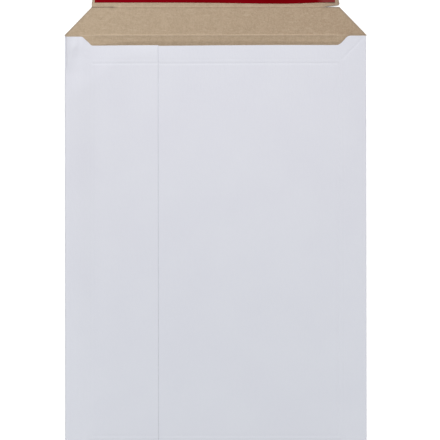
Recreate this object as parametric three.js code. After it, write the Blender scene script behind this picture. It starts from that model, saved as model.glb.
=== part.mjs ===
// A solid-board mailing envelope, lying on its address side with the sealing flap folded open.
// Millimetres, +Z up, +X to the right and +Y towards the flap, seen on the side with the seam.
// One die-cut blank is folded up: a front panel, two back panels that lap at the seam,
// a bottom flap tucked inside, and a top flap with a sealing strip under its release liner.
import * as THREE from 'three';

// Body, outside
const bodyWidth = 250;
const bodyHeight = 353;
const board = 0.6;

// Seam, where the left back panel laps over the right one
const seamFromLeft = 77.5;
const seamLap = 18;
const glueSpace = 0.2;
const glueThickness = 0.1;
const glueWidth = 8;
const glueMargin = 2;
const stepLength = 14;

// Bottom flap, folded inside the body and glued under the back panels
const bottomFlapHeight = 16;
const bottomFlapInset = 6;
const tuckGap = 0.2;

// How far the pocket stands open of itself, and the share of its height where it is fully open
const foldRise = 1.4;
const middleRise = 4.8;
const fullyOpenAt = 0.7;

// Mouth: the back panels stop below the fold of the flap, with a shoulder at each side
const mouthDrop = 8.4;
const shoulderDrop = 0.5;
const leftShoulder = { fromSide: 13, run: 9.9, radius: 2.5 };
const rightShoulder = { fromSide: 12.7, run: 12.4, radius: 5.8 };

// Top flap: a trapezoid whose foot stands a little past the body, then the sealing section
// beyond its second fold
const flapHeight = 23.4;
const flapOverhang = 0.6;
const flapTopInset = 22.1;
const sealHeight = 34;
const sealInset = 22.5;
const sealOuterRadius = 4;
const sealRootRadius = 1.8;
const leftSlit = { length: 17, gap: 0.3, mouth: 0.3 };
const rightSlit = { length: 12, gap: 0, mouth: 1.2 };

// Scores: a groove on the white outside that stands as a bead on the inside
const scoreWidth = 1.2;
const scoreDepth = 0.12;
const foldScoreDepth = 0.25;
const foldScoreInset = 24.5;

// Expansion scores: a double frame on both sides of the body, mitred at its corners
const sideInset = 23.5;
const topInset = 23.6;
const bottomInset = 20.5;
const scorePitch = 3.3;

// Sealing strip and its release liner, on the inside of the sealing section
const linerMargin = 4;
const linerLeftMargin = 2.4;
const linerRightMargin = 3.8;
const linerTabLength = 9;
const stripInset = 1.5;
const stripThickness = 0.1;
const linerThickness = 0.1;

// Fineness of the mesh
const longStep = 36;
const shortStep = 18;
const foldSteps = 6;
const cornerSteps = 4;
const weldSize = 0.001;

// The bottom fold wraps the tucked flap; the side folds leave room for it and its glue
const bottomRadius = board + tuckGap / 2;
const bottomArc = Math.PI * (bottomRadius - board / 2);
const closedGap = tuckGap + board + glueSpace;
const closedRadius = board + closedGap / 2;
const sideArc = Math.PI * (closedRadius - board / 2);

// The front panel's flat half width where the side folds are tightest, and the strip beside a fold
// that takes up the growth of the fold towards the mouth
const flatHalf = bodyWidth / 2 - closedRadius;
const easeWidth = 2;
const flapFootHalf = bodyWidth / 2 + flapOverhang;

// Heights along the body, measured from the centre line of the bottom fold
const foldLine = bodyHeight - bottomRadius;
const shoulderLine = foldLine - shoulderDrop;
const mouthLine = foldLine - mouthDrop;
const sealLine = foldLine + flapHeight;
const sealEnd = sealLine + sealHeight;
const overallLength = bottomRadius + sealEnd;

// Free edges of the back panels
const leftEdge = seamFromLeft - bodyWidth / 2;
const rightEdge = leftEdge - seamLap;

const lerp = THREE.MathUtils.lerp;
const smooth = (t) => THREE.MathUtils.smoothstep(t, 0, 1);

// Half width of a trapezoid flap that narrows by as much as it rises
const bottomFlapHalf = (rise) => flatHalf - bottomFlapInset - rise;

// Frame of scores on a body panel, as pairs of points; the mitres run out to the panel's corners
function frameScores() {
  const scores = [];
  for (const out of [0, scorePitch]) {
    const x = bodyWidth / 2 - sideInset + out;
    const top = foldLine - topInset + out;
    const bottom = bottomInset - bottomRadius - out;
    scores.push([[-x, top], [x, top]]);
    scores.push([[-x, bottom], [x, bottom]]);
    scores.push([[-x, bottom], [-x, top]]);
    scores.push([[x, bottom], [x, top]]);
  }
  const x = bodyWidth / 2 - sideInset + scorePitch;
  const reach = flatHalf - x;
  const top = foldLine - topInset + scorePitch;
  const bottom = bottomInset - bottomRadius - scorePitch;
  for (const side of [-1, 1]) {
    scores.push([[side * x, top], [side * (x + reach), top + reach]]);
    scores.push([[side * x, bottom], [side * (x + reach), bottom - reach]]);
  }
  return scores;
}

// Scores across the flap: the main fold, and the fold of the sealing section between its slits
const flapScores = [
  [[foldScoreInset - bodyWidth / 2, foldLine], [bodyWidth / 2 - foldScoreInset, foldLine]],
  [
    [sealInset - bodyWidth / 2 + leftSlit.length, sealLine],
    [bodyWidth / 2 - sealInset - rightSlit.length, sealLine],
  ],
];
const bodyScores = frameScores();

// How far the card is pressed in at a point by scores of one depth
function pressed(x, y, scores, depth) {
  const point = new THREE.Vector3(x, y, 0);
  const nearest = new THREE.Vector3();
  let deepest = 0;
  for (const [[ax, ay], [bx, by]] of scores) {
    const line = new THREE.Line3(new THREE.Vector3(ax, ay, 0), new THREE.Vector3(bx, by, 0));
    line.closestPointToPoint(point, true, nearest);
    const fall = 1 - nearest.distanceTo(point) / (scoreWidth / 2);
    deepest = Math.max(deepest, depth * fall);
  }
  return deepest;
}

// Share of the full opening at a height, from the closed bottom to the mouth
const openness = (y) => smooth((y - bottomFlapHeight) / (fullyOpenAt * foldLine - bottomFlapHeight));

// Outer radius of the side folds at a height
const foldRadius = (y) => closedRadius + (foldRise / 2) * openness(y);

// Underside of the lower back panel, which arches between the side folds
function backInside(x, y) {
  const edge = board + closedGap + foldRise * openness(y);
  const arch = Math.cos((Math.PI * Math.min(Math.abs(x), flatHalf)) / (2 * flatHalf));
  return edge + middleRise * openness(y) * arch - pressed(x, y, bodyScores, scoreDepth);
}

// Rise of the left panel where it climbs onto the right one, done before the right one's free edge
const climbStart = rightEdge - glueMargin - stepLength;
const climb = (x) => (board + glueSpace) * smooth((x - climbStart) / stepLength);

// Distance from the middle, with the strip beside the fold drawn in as the fold grows;
// past the shoulder, where the fold ends, the strip comes back out to the foot of the flap
function easedHalf(s, y) {
  const start = flatHalf - easeWidth;
  if (s <= start) return s;
  const released = smooth((y - shoulderLine) / shoulderDrop);
  const end = lerp(bodyWidth / 2 - foldRadius(y), flatHalf, released);
  const inside = Math.min(s, flatHalf);
  return start + ((inside - start) / easeWidth) * (end - start) + (s - inside);
}

// The blank is flat in (u, v): u runs across it and v along it, and this folds it into place.
// The inside face is the brown one, the outside face the white one.
function placeBoard(u, v, outside) {
  const side = Math.sign(u);
  const s = Math.abs(u);
  const thick = outside ? 0 : board;
  if (v < -bottomArc) {
    return [u, -bottomArc - v, 2 * bottomRadius - thick];
  }
  if (v < 0) {
    const angle = (-v / bottomArc) * Math.PI;
    const r = bottomRadius - thick;
    return [u, -r * Math.sin(angle), bottomRadius - r * Math.cos(angle)];
  }
  if (s <= flatHalf || v > shoulderLine + weldSize) {
    const flap = pressed(u, v, flapScores, foldScoreDepth);
    const frame = v < foldLine ? pressed(u, v, bodyScores, scoreDepth) : 0;
    return [side * easedHalf(s, v), v, thick + Math.max(flap, frame)];
  }
  if (s < flatHalf + sideArc) {
    const angle = ((s - flatHalf) / sideArc) * Math.PI;
    const radius = foldRadius(v);
    const r = radius - thick;
    return [side * (bodyWidth / 2 - radius + r * Math.sin(angle)), v, radius - r * Math.cos(angle)];
  }
  const half = 2 * flatHalf + sideArc - s;
  const x = side * (half > 0 ? easedHalf(half, v) : half);
  const lift = side < 0 ? climb(x) : 0;
  return [x, v, backInside(side * half, v) + lift + board - thick];
}

// Place on the blank of a point of a back panel, by its side and its place across the body
const backU = (side, x) => side * (2 * flatHalf + sideArc - side * x);

// Positions from one end to the other: every wanted one, with none further apart than the step
function positions(from, to, step, wanted = []) {
  const inside = wanted.filter((w) => w > from + weldSize && w < to - weldSize);
  const fixed = [from, ...inside.sort((a, b) => a - b), to];
  const all = [from];
  for (let i = 1; i < fixed.length; i += 1) {
    const parts = Math.max(1, Math.ceil((fixed[i] - fixed[i - 1]) / step - weldSize));
    for (let k = 1; k <= parts; k += 1) {
      all.push(lerp(fixed[i - 1], fixed[i], k / parts));
    }
  }
  return all;
}

// The three lines of a score: its edges and its deepest line
const scoreLines = (at) => [at - scoreWidth / 2, at, at + scoreWidth / 2];

const frameHalf = bodyWidth / 2 - sideInset;
const scoreColumns = [-1, 1].flatMap((side) =>
  [0, scorePitch].flatMap((out) => scoreLines(side * (frameHalf + out))));
const scoreRows = [0, scorePitch].flatMap((out) => [
  ...scoreLines(foldLine - topInset + out),
  ...scoreLines(bottomInset - bottomRadius - out),
]);

// Rounded step of a panel's edge, down from the shoulder to the mouth, as points from the side inwards
function shoulderPoints({ fromSide, run, radius }) {
  const high = shoulderLine;
  const fall = shoulderLine - mouthLine;
  const start = bodyWidth / 2 - fromSide;
  const span = Math.hypot(run, fall - 2 * radius);
  const straight = Math.sqrt(span * span - 4 * radius * radius);
  const slope = Math.atan2(fall - 2 * radius, run) + Math.atan2(2 * radius, straight);
  const points = [];
  for (let i = 0; i <= cornerSteps; i += 1) {
    const a = (slope * i) / cornerSteps;
    points.push([start - radius * Math.sin(a), high - radius * (1 - Math.cos(a))]);
  }
  for (let i = cornerSteps; i >= 0; i -= 1) {
    const a = (slope * i) / cornerSteps;
    points.push([start - run + radius * Math.sin(a), mouthLine + radius * (1 - Math.cos(a))]);
  }
  return points;
}

// Height of an edge at a place across, from its points in rising order
function heightOn(points, x) {
  if (x <= points[0][0]) return points[0][1];
  for (let i = 1; i < points.length; i += 1) {
    const [x0, y0] = points[i - 1];
    const [x1, y1] = points[i];
    if (x <= x1) return lerp(y0, y1, (x - x0) / (x1 - x0));
  }
  return points[points.length - 1][1];
}

// Convex cells of the blank between two edges, one for each pair of neighbouring columns
function strips(columns, low, high) {
  const cells = [];
  for (let i = 1; i < columns.length; i += 1) {
    const a = columns[i - 1];
    const b = columns[i];
    cells.push([[a, low(a)], [b, low(b)], [b, high(b)], [a, high(a)]]);
  }
  return cells;
}

const middleOf = (cell) => [0, 1].map((k) => cell.reduce((sum, p) => sum + p[k], 0) / cell.length);

// Cells cut in two along a line, given as a signed distance from it
function cutCells(cells, distance, touches = () => true) {
  return cells.flatMap((cell) => {
    const away = cell.map(distance);
    if (Math.min(...away) > -weldSize || Math.max(...away) < weldSize) return [cell];
    if (!touches(middleOf(cell))) return [cell];
    const halves = [[], []];
    cell.forEach((p, i) => {
      const j = (i + 1) % cell.length;
      if (away[i] <= weldSize) halves[0].push(p);
      if (away[i] >= -weldSize) halves[1].push(p);
      if (Math.abs(away[i]) > weldSize && Math.abs(away[j]) > weldSize && away[i] * away[j] < 0) {
        const t = away[i] / (away[i] - away[j]);
        const q = cell[j];
        const crossing = [lerp(p[0], q[0], t), lerp(p[1], q[1], t)];
        halves.forEach((half) => half.push(crossing));
      }
    });
    return halves;
  });
}

const cutRows = (cells, rows) =>
  rows.reduce((now, row) => cutCells(now, ([, v]) => v - row), cells);

// Cells of a body panel cut along its mitres; across() gives the place across the body of a u
function cutMitres(cells, across) {
  const x = frameHalf + scorePitch;
  const reach = flatHalf - x;
  const edge = frameHalf + scorePitch - scoreWidth / 2;
  let now = cells;
  for (const side of [-1, 1]) {
    for (const end of [-1, 1]) {
      const y = end > 0 ? foldLine - topInset + scorePitch : bottomInset - bottomRadius - scorePitch;
      const beyond = (v) => end * (v - y) + scoreWidth / 2;
      const inCorner = ([u, v]) =>
        side * across(u) > edge && beyond(v) > 0 && beyond(v) < reach + scoreWidth;
      for (const off of [-scoreWidth / 2, 0, scoreWidth / 2]) {
        const distance = ([u, v]) => (end * (v - y) - (side * across(u) - x)) * Math.SQRT1_2 - off;
        now = cutCells(now, distance, inCorner);
      }
    }
  }
  return now;
}

// How far an edge with a rounded corner is set back, at a distance in from the side
const roundedRise = (inward, radius) =>
  inward >= radius ? 0 : radius - Math.sqrt(radius ** 2 - (radius - inward) ** 2);

// Distances in from the side at which a rounded corner has its points
function roundedPositions(radius) {
  const list = [];
  for (let i = 1; i <= cornerSteps; i += 1) {
    list.push(radius * (1 - Math.cos((i / cornerSteps) * (Math.PI / 2))));
  }
  return list;
}

const bodyRows = positions(0, mouthLine, longStep, [...scoreRows, bottomFlapHeight]);

// Front panel, up to the fold of the flap, with the small corners that widen to the flap's foot
function frontPanel() {
  const ends = [easeWidth - flatHalf, flatHalf - easeWidth, -bottomFlapHalf(0), bottomFlapHalf(0)];
  const columns = positions(-flatHalf, flatHalf, bodyWidth, [...scoreColumns, ...ends]);
  const cells = strips(columns, () => 0, () => foldLine);
  const outward = (u) => (Math.abs(u) - flatHalf) / (flapFootHalf - flatHalf);
  const widening = (u) => shoulderLine + shoulderDrop * outward(u);
  const corners = [[-flapFootHalf, -flatHalf], [flatHalf, flapFootHalf]]
    .flatMap((pair) => strips(pair, widening, () => foldLine));
  const rows = [...scoreRows, shoulderLine];
  return [...cutMitres(cutRows(cells, rows), (u) => u), ...corners];
}

// Fold at one side of the body, up to the shoulder
function sideFold(side) {
  const [from, to] = [side * flatHalf, side * (flatHalf + sideArc)].sort((a, b) => a - b);
  const columns = positions(from, to, sideArc / foldSteps);
  return cutRows(strips(columns, () => 0, () => shoulderLine), bodyRows);
}

// Columns that the lapped panels and the glue between them share, and those of the climb
const lapMiddle = (rightEdge + leftEdge) / 2;
const glueColumns = [lapMiddle - glueWidth / 2, lapMiddle + glueWidth / 2];
const lapColumns = [rightEdge, ...glueColumns, leftEdge];
const climbColumns = positions(climbStart, rightEdge - glueMargin, stepLength / 4);

// Back panel from the fold at its side to its free edge, with a shoulder beside the fold
function backPanel(side, edge, shoulder) {
  const [from, to] = [edge, side * flatHalf].sort((a, b) => a - b);
  const wanted = [...scoreColumns, ...lapColumns, side * (flatHalf - easeWidth)];
  const columns = positions(from, to, shortStep, side < 0 ? [...wanted, ...climbColumns] : wanted);
  const across = (u) => side * (2 * flatHalf + sideArc - Math.abs(u));
  const toBlank = (list) => list.map((x) => backU(side, x)).sort((a, b) => a - b);
  const lower = cutRows(strips(toBlank(columns), () => 0, () => mouthLine), bodyRows);

  const profile = shoulderPoints(shoulder).map(([x, y]) => [side * x, y]).sort((a, b) => a[0] - b[0]);
  const foot = bodyWidth / 2 - shoulder.fromSide - shoulder.run;
  const shoulderColumns = [
    ...columns.filter((x) => side * x > foot + weldSize),
    ...profile.map(([x]) => x),
  ];
  const upper = strips(toBlank(shoulderColumns), () => mouthLine, (u) => heightOn(profile, across(u)));
  return cutMitres([...lower, ...upper], across);
}

// Bottom fold and the trapezoid flap tucked behind it
function bottomFlap() {
  const half = bottomFlapHalf(0);
  const tip = bottomFlapHalf(bottomFlapHeight);
  const fold = cutRows(
    strips([-half, half], () => -bottomArc, () => 0), positions(-bottomArc, 0, bottomArc / foldSteps));
  const end = (u) => -bottomArc - Math.min(bottomFlapHeight, half - Math.abs(u));
  return [...fold, ...strips([-half, -tip, tip, half], end, () => -bottomArc)];
}

// Half widths at the second fold, and the inner ends of its slits
const flapTopHalf = bodyWidth / 2 - flapTopInset;
const sealHalf = bodyWidth / 2 - sealInset;
const leftSlitEnd = leftSlit.length - sealHalf;
const rightSlitEnd = sealHalf - rightSlit.length;

// Top flap, from its fold to the second fold, with 45 degree sides
function topFlap() {
  const scoreEnd = bodyWidth / 2 - foldScoreInset;
  const scoreFade = scoreEnd + scoreWidth / 2;
  const wanted = [-scoreFade, -scoreEnd, scoreEnd, scoreFade];
  const low = () => foldLine;
  const leftHigh = sealLine - leftSlit.gap / 2;
  const rightHigh = sealLine - rightSlit.gap / 2;
  const sloped = (top) => (u) =>
    lerp(foldLine, top, (flapFootHalf - Math.abs(u)) / (flapFootHalf - flapTopHalf));
  const cells = [
    ...strips([-flapFootHalf, -flatHalf, -flapTopHalf], low, sloped(leftHigh)),
    ...strips(positions(-flapTopHalf, leftSlitEnd, bodyWidth, wanted), low, () => leftHigh),
    ...strips([leftSlitEnd, rightSlitEnd], low, () => sealLine),
    ...strips(positions(rightSlitEnd, flapTopHalf, bodyWidth, wanted), low, () => rightHigh),
    ...strips([flapTopHalf, flatHalf, flapFootHalf], low, sloped(rightHigh)),
  ];
  return cutRows(cells, [foldLine + scoreWidth / 2, sealLine - scoreWidth / 2]);
}

// Sealing section beyond the second fold, with a slit at each end of that fold
function sealingSection() {
  const wedge = (slit, out) => lerp(slit.gap / 2, slit.mouth - slit.gap / 2, out / slit.length);
  const leftLow = (u) => sealLine + wedge(leftSlit, leftSlitEnd - u);
  const rightLow = (u) =>
    sealLine + wedge(rightSlit, u - rightSlitEnd) + roundedRise(sealHalf - u, sealRootRadius);
  const high = (u) => sealEnd - roundedRise(sealHalf - Math.abs(u), sealOuterRadius);
  const outerColumns = roundedPositions(sealOuterRadius).map((x) => sealHalf - x);
  const rootColumns = roundedPositions(sealRootRadius).map((x) => sealHalf - x);
  const leftColumns = positions(-sealHalf, leftSlitEnd, bodyWidth, outerColumns.map((x) => -x));
  const rightColumns = positions(rightSlitEnd, sealHalf, bodyWidth, [...outerColumns, ...rootColumns]);
  const cells = [
    ...strips(leftColumns, leftLow, high),
    ...strips([leftSlitEnd, rightSlitEnd], () => sealLine, high),
    ...strips(rightColumns, rightLow, high),
  ];
  return cutRows(cells, [sealLine + scoreWidth / 2]);
}

const blankCells = [
  ...frontPanel(),
  ...sideFold(-1),
  ...sideFold(1),
  ...backPanel(-1, leftEdge, leftShoulder),
  ...backPanel(1, rightEdge, rightShoulder),
  ...bottomFlap(),
  ...topFlap(),
  ...sealingSection(),
];

// Rings of shared point numbers for the cells, with every point that lies on an edge put into it
function weldCells(cells) {
  const points = [];
  const known = new Map();
  const numberOf = ([u, v]) => {
    const key = `${Math.round(u / weldSize)},${Math.round(v / weldSize)}`;
    if (!known.has(key)) {
      known.set(key, points.length);
      points.push([u, v]);
    }
    return known.get(key);
  };
  const rings = cells.map((cell) => {
    const ring = cell.map(numberOf);
    return ring.filter((n, i) => n !== ring[(i + 1) % ring.length]);
  });
  const full = rings.filter((ring) => ring.length > 2).map((ring) => ring.flatMap((n, i) => {
    const [au, av] = points[n];
    const [bu, bv] = points[ring[(i + 1) % ring.length]];
    const length = Math.hypot(bu - au, bv - av);
    const between = [];
    points.forEach(([u, v], k) => {
      const along = ((u - au) * (bu - au) + (v - av) * (bv - av)) / length;
      const off = Math.abs((u - au) * (bv - av) - (v - av) * (bu - au)) / length;
      if (off < 2 * weldSize && along > weldSize && along < length - weldSize) between.push([along, k]);
    });
    return [n, ...between.sort((a, b) => a[0] - b[0]).map(([, k]) => k)];
  }));
  return { points, rings: full };
}

// Triangles of a convex ring, chosen so that the thinnest of them is as full as it can be
function triangulate(ring, points) {
  const fullness = (a, b, c) => {
    const [p, q, r] = [a, b, c].map((i) => points[ring[i]]);
    const area = (q[0] - p[0]) * (r[1] - p[1]) - (q[1] - p[1]) * (r[0] - p[0]);
    const sides = [[p, q], [q, r], [r, p]].map(([s, t]) => (t[0] - s[0]) ** 2 + (t[1] - s[1]) ** 2);
    return area / Math.max(...sides);
  };
  const best = ring.map(() => []);
  for (let span = 1; span < ring.length; span += 1) {
    for (let i = 0; i + span < ring.length; i += 1) {
      const j = i + span;
      best[i][j] = { worst: span === 1 ? Infinity : -Infinity, at: 0 };
      for (let k = i + 1; k < j; k += 1) {
        const worst = Math.min(best[i][k].worst, best[k][j].worst, fullness(i, k, j));
        if (worst > best[i][j].worst) best[i][j] = { worst, at: k };
      }
    }
  }
  const triangles = [];
  const collect = (i, j) => {
    if (j - i < 2) return;
    const k = best[i][j].at;
    triangles.push([ring[i], ring[k], ring[j]]);
    collect(i, k);
    collect(k, j);
  };
  collect(0, ring.length - 1);
  return triangles;
}

// One closed solid from cells of a flat sheet: both faces, put in place, and the walls round the cut edges
function sheetSolid(cells, place) {
  const { points, rings } = weldCells(cells);
  const triangles = rings.flatMap((ring) => triangulate(ring, points));
  const count = points.length;
  const position = [false, true].flatMap((outside) => points.flatMap(([u, v]) => place(u, v, outside)));
  const index = triangles.flatMap(([a, b, c]) => [a, b, c, a + count, c + count, b + count]);
  const edges = new Set(triangles.flatMap(([a, b, c]) => [`${a},${b}`, `${b},${c}`, `${c},${a}`]));
  for (const edge of edges) {
    const [a, b] = edge.split(',').map(Number);
    if (edges.has(`${b},${a}`)) continue;
    index.push(a + count, b + count, b, a + count, b, a);
  }
  const geometry = new THREE.BufferGeometry();
  geometry.setAttribute('position', new THREE.Float32BufferAttribute(position, 3));
  geometry.setIndex(index);
  geometry.computeVertexNormals();
  return geometry;
}

const material = (color, roughness) => new THREE.MeshStandardMaterial({ color, roughness, metalness: 0 });
const boardWhite = material(0xdfdfe6, 0.75);
const glueClear = material(0xd8d2c4, 0.5);
const stripClear = material(0xcfc7b4, 0.35);
const linerRed = material(0x820412, 0.45);

const envelope = new THREE.Group();
function add(name, geometry, look) {
  const mesh = new THREE.Mesh(geometry, look);
  mesh.name = name;
  mesh.position.y = bottomRadius - overallLength / 2;
  envelope.add(mesh);
}

add('envelope_board', sheetSolid(blankCells, placeBoard), boardWhite);

// Glue between the lapped back panels, held between them by an even clearance
function seamGlue() {
  const cells = cutRows(strips(glueColumns, () => glueMargin, () => mouthLine - glueMargin), bodyRows);
  const clearance = (glueSpace - glueThickness) / 2;
  return sheetSolid(cells, (x, y, outside) =>
    [x, y, backInside(x, y) + board + clearance + (outside ? 0 : glueThickness)]);
}
add('seam_glue', seamGlue(), glueClear);

// Glue between the tucked flap and a back panel, from one place across to another, below the scores
function bottomGlue(from, to) {
  const lowestScore = bottomInset - bottomRadius - scorePitch - scoreWidth / 2;
  const low = glueMargin;
  const high = Math.min(bottomFlapHeight, lowestScore) - glueMargin;
  const clearance = (glueSpace - glueThickness) / 2;
  const geometry = new THREE.BoxGeometry(to - from, high - low, glueThickness);
  const z = 2 * bottomRadius + clearance + glueThickness / 2;
  return geometry.translate((from + to) / 2, (low + high) / 2, z);
}
const glueEnd = bottomFlapHalf(bottomFlapHeight);
add('bottom_glue_left', bottomGlue(-glueEnd, climbStart - glueMargin), glueClear);
add('bottom_glue_right', bottomGlue(rightEdge + glueMargin, glueEnd), glueClear);

// A strip that lies flat on the sealing section
function flatStrip(left, right, low, high, base, thickness) {
  const shape = new THREE.Shape();
  shape.moveTo(left, low);
  shape.lineTo(right, low);
  shape.lineTo(right, high);
  shape.lineTo(left, high);
  shape.closePath();
  return new THREE.ExtrudeGeometry(shape, { depth: thickness, bevelEnabled: false }).translate(0, 0, base);
}
const linerLeft = linerLeftMargin - sealHalf;
const linerRight = sealHalf - linerRightMargin;
const linerLow = sealLine + linerMargin;
const linerHigh = sealEnd - linerMargin;
add(
  'adhesive_strip',
  flatStrip(
    linerLeft + stripInset, linerRight - linerTabLength,
    linerLow + stripInset, linerHigh - stripInset, board, stripThickness),
  stripClear,
);
add(
  'release_liner',
  flatStrip(linerLeft, linerRight, linerLow, linerHigh, board + stripThickness, linerThickness),
  linerRed,
);

export default envelope;
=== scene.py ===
"""The looks of a solid-board mailing envelope, seen straight from above with its flap open.

The card is drawn flat, as the die cutter draws it, cut into fine cells, and folded into place by
one map, so both faces, every score and every cut edge are real geometry.
Lengths are in millimetres until a mesh or a material takes them, in metres.
"""

import math

import bmesh
import bpy
import numpy as np
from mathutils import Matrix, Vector


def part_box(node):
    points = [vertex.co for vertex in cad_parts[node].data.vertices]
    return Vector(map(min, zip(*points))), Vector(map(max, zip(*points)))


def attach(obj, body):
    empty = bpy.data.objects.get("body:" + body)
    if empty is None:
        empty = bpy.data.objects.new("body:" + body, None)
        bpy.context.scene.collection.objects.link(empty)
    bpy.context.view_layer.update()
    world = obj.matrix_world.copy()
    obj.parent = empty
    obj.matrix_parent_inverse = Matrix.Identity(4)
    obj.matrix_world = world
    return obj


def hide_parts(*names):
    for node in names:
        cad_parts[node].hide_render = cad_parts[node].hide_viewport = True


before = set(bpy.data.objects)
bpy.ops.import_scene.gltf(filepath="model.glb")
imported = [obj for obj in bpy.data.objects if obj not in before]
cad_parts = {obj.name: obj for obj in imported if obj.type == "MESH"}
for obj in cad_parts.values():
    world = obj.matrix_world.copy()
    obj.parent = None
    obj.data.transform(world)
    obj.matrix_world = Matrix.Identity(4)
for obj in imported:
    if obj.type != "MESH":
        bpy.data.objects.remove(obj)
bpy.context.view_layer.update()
MM = 0.001

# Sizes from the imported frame; the flap's foot hangs over the body on each side
board_low, board_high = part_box("envelope_board")
liner_low, liner_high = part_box("release_liner")
glue_low, glue_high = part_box("seam_glue")
FLAP_OVERHANG = 0.6
BODY_WIDTH = (board_high.x - board_low.x) / MM - 2 * FLAP_OVERHANG
OVERALL = (board_high.y - board_low.y) / MM

# The card and its seam
BOARD = 0.6
SEAM_FROM_LEFT = 77.5
SEAM_LAP = 18
GLUE_SPACE = 0.2
CLIMB_MARGIN = 2
CLIMB_LENGTH = 28

# Bottom flap and pocket, which swells from the flap to the mouth as a sine up to SWELL radians
BOTTOM_FLAP_HEIGHT = 16
BOTTOM_FLAP_INSET = 6
TUCK_GAP = 0.2
FOLD_RISE = 1.8
MIDDLE_RISE = 4.35
SWELL = 2.3
LEAST_GAP = 0.1

# Mouth and its shoulders
MOUTH_DROP = 8.4
SHOULDER_DROP = 0.5
LEFT_SHOULDER = {"from_side": 13.4, "run": 9.9, "radius": 2.5, "steps": 8}
RIGHT_SHOULDER = {"from_side": 12.7, "run": 12.4, "radius": 5.8, "steps": 10}

# Flap and sealing section, whose sides bulge near the second fold
FLAP_HEIGHT = 23.4
FLAP_TOP_INSET = 22.1
SEAL_HEIGHT = 34
SEAL_INSET = 22.5
SEAL_SPARE_RIGHT = 0.45
SEAL_TAPER_RIGHT = 0.9
SEAL_STEP_RIGHT = 1.3
SEAL_SPARE_LEFT = 0.3
SEAL_TAPER_LEFT = 0.5
SEAL_STEP_LEFT = 1.5
SEAL_OUTER_RADIUS = 4
SEAL_ROOT_RADIUS = 1.8
SEAL_ROOT_ANGLE = -84
LEFT_SLIT_LENGTH = 17
LEFT_SLIT_GAP = 0.02
RIGHT_SLIT_LENGTH = 12
RIGHT_SLIT_MOUTH = 1.2

# Scores
FOLD_SCORE_INSET = 24.5
SIDE_INSET = 23.5
TOP_INSET = 23.6
BOTTOM_INSET = 20.5
SCORE_PITCH = 3.3

# What the fold map needs: radii and arcs of the folds, lines and edges of the flat blank, and
# the shift from the blank's rows to the frame's y
BOTTOM_RADIUS = BOARD + TUCK_GAP / 2
BOTTOM_ARC = math.pi * (BOTTOM_RADIUS - BOARD / 2)
CLOSED_RADIUS = BOARD + (TUCK_GAP + BOARD + GLUE_SPACE) / 2
SIDE_ARC = math.pi * (CLOSED_RADIUS - BOARD / 2)
HALF = BODY_WIDTH / 2
FOOT_HALF = HALF + FLAP_OVERHANG
FLAT_HALF = HALF - CLOSED_RADIUS
FOLD_LINE = OVERALL - FLAP_HEIGHT - SEAL_HEIGHT - BOTTOM_RADIUS
SHOULDER_LINE = FOLD_LINE - SHOULDER_DROP
MOUTH_LINE = FOLD_LINE - MOUTH_DROP
SEAL_LINE = FOLD_LINE + FLAP_HEIGHT
SEAL_END = SEAL_LINE + SEAL_HEIGHT
LEFT_EDGE = SEAM_FROM_LEFT - HALF
RIGHT_EDGE = LEFT_EDGE - SEAM_LAP
CLIMB_START = RIGHT_EDGE - CLIMB_MARGIN - CLIMB_LENGTH
TURN = FLAT_HALF + SIDE_ARC
BACK_TURN = FLAT_HALF + TURN
SHIFT_Y = board_low.y / MM + BOTTOM_RADIUS


# The camera looks straight down on the photo's frame

PHOTO_SIZE = 440
PHOTO_BODY_LEFT = 65.2
PHOTO_BODY_RIGHT = 366.3
PHOTO_FOLD_Y = 35.3
PHOTO_ROLL = math.radians(0.06)
CAMERA_HEIGHT = 2.6
SENSOR_WIDTH = 36
CLIP_START = 0.05
PER_PIXEL = BODY_WIDTH / (PHOTO_BODY_RIGHT - PHOTO_BODY_LEFT)


def add_camera():
    middle = PHOTO_SIZE / 2
    x = (middle - (PHOTO_BODY_LEFT + PHOTO_BODY_RIGHT) / 2) * PER_PIXEL
    y = FOLD_LINE + SHIFT_Y - (middle - PHOTO_FOLD_Y) * PER_PIXEL
    data = bpy.data.cameras.new("camera")
    data.sensor_width = SENSOR_WIDTH
    data.lens = data.sensor_width * CAMERA_HEIGHT / (PHOTO_SIZE * PER_PIXEL * MM)
    data.clip_start = CLIP_START
    camera = bpy.data.objects.new("camera", data)
    camera.location = (x * MM, y * MM, CAMERA_HEIGHT)
    camera.rotation_euler = (0, 0, -PHOTO_ROLL)
    bpy.context.scene.collection.objects.link(camera)
    bpy.context.scene.camera = camera


add_camera()


# Scores, each (start, end, depth) on the flat blank, pressed in with a rounded profile

SCORE_SIGMA = 0.62
FOLD_SIGMA = 0.38
MAIN_FOLD_DEPTH = 0.28
SECOND_FOLD_DEPTH = 0.22
TOP_SCORE = FOLD_LINE - TOP_INSET
BOTTOM_SCORE = BOTTOM_INSET - BOTTOM_RADIUS
SIDE_SCORE = HALF - SIDE_INSET
OUTER_SIDE = SIDE_SCORE + SCORE_PITCH
OUTER_TOP = TOP_SCORE + SCORE_PITCH
OUTER_BOTTOM = BOTTOM_SCORE - SCORE_PITCH
MITRE_REACH = FLAT_HALF - OUTER_SIDE


def frame_scores(depths):
    """A frame of double scores with mitres, with a depth for each of its lines."""
    scores = []
    for out, share in ((0, 1.0), (SCORE_PITCH, depths["outer"])):
        x, top, bottom = SIDE_SCORE + out, TOP_SCORE + out, BOTTOM_SCORE - out
        scores.append(((-x, top), (x, top), depths["top"] * share))
        scores.append(((-x, bottom), (x, bottom), depths["bottom"]))
        scores.append(((-x, bottom), (-x, top), depths["left"]))
        scores.append(((x, bottom), (x, top), depths["right"]))
    for side, key in ((-1, "left_mitre"), (1, "right_mitre")):
        for end, y in ((1, OUTER_TOP), (-1, OUTER_BOTTOM)):
            tip = (side * (OUTER_SIDE + MITRE_REACH), y + end * MITRE_REACH)
            scores.append(((side * OUTER_SIDE, y), tip, depths[key]))
    return scores


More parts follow.
